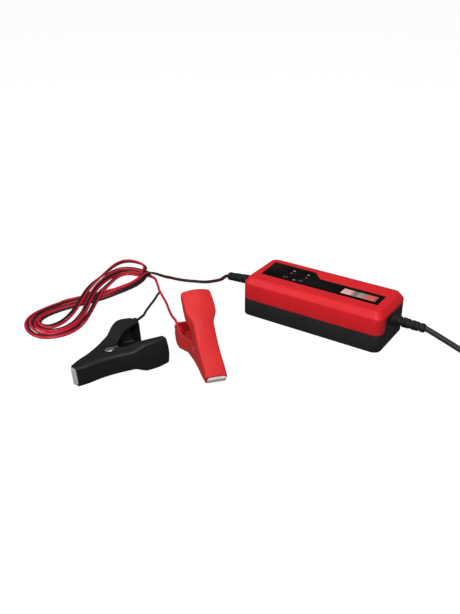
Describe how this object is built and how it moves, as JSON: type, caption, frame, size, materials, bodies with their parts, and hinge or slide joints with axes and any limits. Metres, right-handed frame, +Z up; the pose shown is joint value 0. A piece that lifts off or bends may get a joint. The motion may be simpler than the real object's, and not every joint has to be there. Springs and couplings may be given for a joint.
{
  "type": "car battery charger",
  "caption": "Small mains car battery charger: two-part case with status lights, ribbed cord glands, mains lead with plug and a bundled twin lead ending in a red and a black spring clamp.",
  "frame": {"origin": "centre of the case's flat underside, on the surface the charger stands on", "axes": "+X along the case towards the mains lead, +Y across it away from the clamps, +Z up"},
  "size_m": [0.4931, 0.3018, 0.0628],
  "materials": {
    "red_plastic": "satin moulded red plastic, fine texture",
    "black_plastic": "fine textured black moulding",
    "panel_black": "printed black label film",
    "badge_plastic": null,
    "red_lens": "tinted lens",
    "green_lens": "tinted lens",
    "clear_lens": "milky lens",
    "zinc_steel": "zinc plated",
    "board_laminate": "green glass laminate",
    "ferrite": "sintered dark grey",
    "copper_enamel": "enamelled copper winding",
    "aluminium": "extruded, bare",
    "component_black": "moulded epoxy",
    "capacitor_sleeve": "shrink sleeve",
    "fuse_glass": "clear glass with end caps",
    "relief_rubber": "ribbed soft moulding",
    "mains_sheath": "round PVC sheath, satin",
    "tie_plastic": "soft strap",
    "plug_plastic": "moulded plug, fine texture",
    "plated_brass": "nickel plated",
    "lead_black": "PVC insulation, satin",
    "lead_red": "PVC insulation, satin",
    "clamp_black_plastic": "polished vinyl cover",
    "clamp_red_plastic": "polished vinyl cover",
    "jaw_steel": "nickel plated sheet",
    "pin_steel": "plated rivet",
    "spring_steel": "plated spring wire"
  },
  "bodies": {
    "charger": {"badge_plate": "badge_plastic", "black_clamp_pivot_pin": "pin_steel", "black_clamp_spring": "spring_steel", "black_clamp_wired_cover": "clamp_black_plastic", "black_clamp_wired_jaw": "jaw_steel", "black_wire": "lead_black", "board_screw_1": "zinc_steel", "board_screw_2": "zinc_steel", "board_screw_3": "zinc_steel", "board_screw_4": "zinc_steel", "bridge_rectifier": "component_black", "case_screw_1": "zinc_steel", "case_screw_2": "zinc_steel", "case_screw_3": "zinc_steel", "case_screw_4": "zinc_steel", "circuit_board": "board_laminate", "coil_tie": "tie_plastic", "controller_chip": "component_black", "dc_strain_relief": "relief_rubber", "fuse": "fuse_glass", "heat_sink": "aluminium", "input_capacitor": "capacitor_sleeve", "lower_shell": "black_plastic", "mains_choke": "ferrite", "mains_coil": "mains_sheath", "mains_cord_end": "mains_sheath", "mains_cord_run": "mains_sheath", "mains_strain_relief": "relief_rubber", "output_capacitor": "capacitor_sleeve", "overlay_panel": "panel_black", "plug_body": "plug_plastic", "plug_pin_1": "plated_brass", "plug_pin_2": "plated_brass", "power_transistor": "component_black", "red_clamp_pivot_pin": "pin_steel", "red_clamp_spring": "spring_steel", "red_clamp_wired_cover": "clamp_red_plastic", "red_clamp_wired_jaw": "jaw_steel", "red_wire": "lead_red", "status_light_1": "red_lens", "status_light_2": "red_lens", "status_light_3": "green_lens", "status_light_4": "clear_lens", "status_light_5": "clear_lens", "transformer_core": "ferrite", "transformer_winding": "copper_enamel", "twin_lead_hank": "lead_black", "twin_lead_run": "lead_black", "twin_lead_tail": "lead_red", "upper_shell": "red_plastic"},
    "black_moving_lever": {"black_clamp_moving_cover": "clamp_black_plastic", "black_clamp_moving_jaw": "jaw_steel"},
    "red_moving_lever": {"red_clamp_moving_cover": "clamp_red_plastic", "red_clamp_moving_jaw": "jaw_steel"}
  },
  "joints": [
    {"name": "black_clamp_squeeze", "type": "hinge", "parent": "charger", "child": "black_moving_lever", "pos_m": [-0.11579, -0.18557, 0.01286], "axis": [-0.018, -0.0746, 0.9971], "range_deg": [0, 34], "stiffness_Nm_per_rad": 0.5, "springref_deg": -34.38, "deforming": ["black_clamp_spring"]},
    {"name": "red_clamp_squeeze", "type": "hinge", "parent": "charger", "child": "red_moving_lever", "pos_m": [-0.0522, -0.1314, 0.01843], "axis": [-0.5936, -0.8027, 0.0573], "range_deg": [0, 34], "stiffness_Nm_per_rad": 0.5, "springref_deg": -34.38, "deforming": ["red_clamp_spring"]}
  ]
}
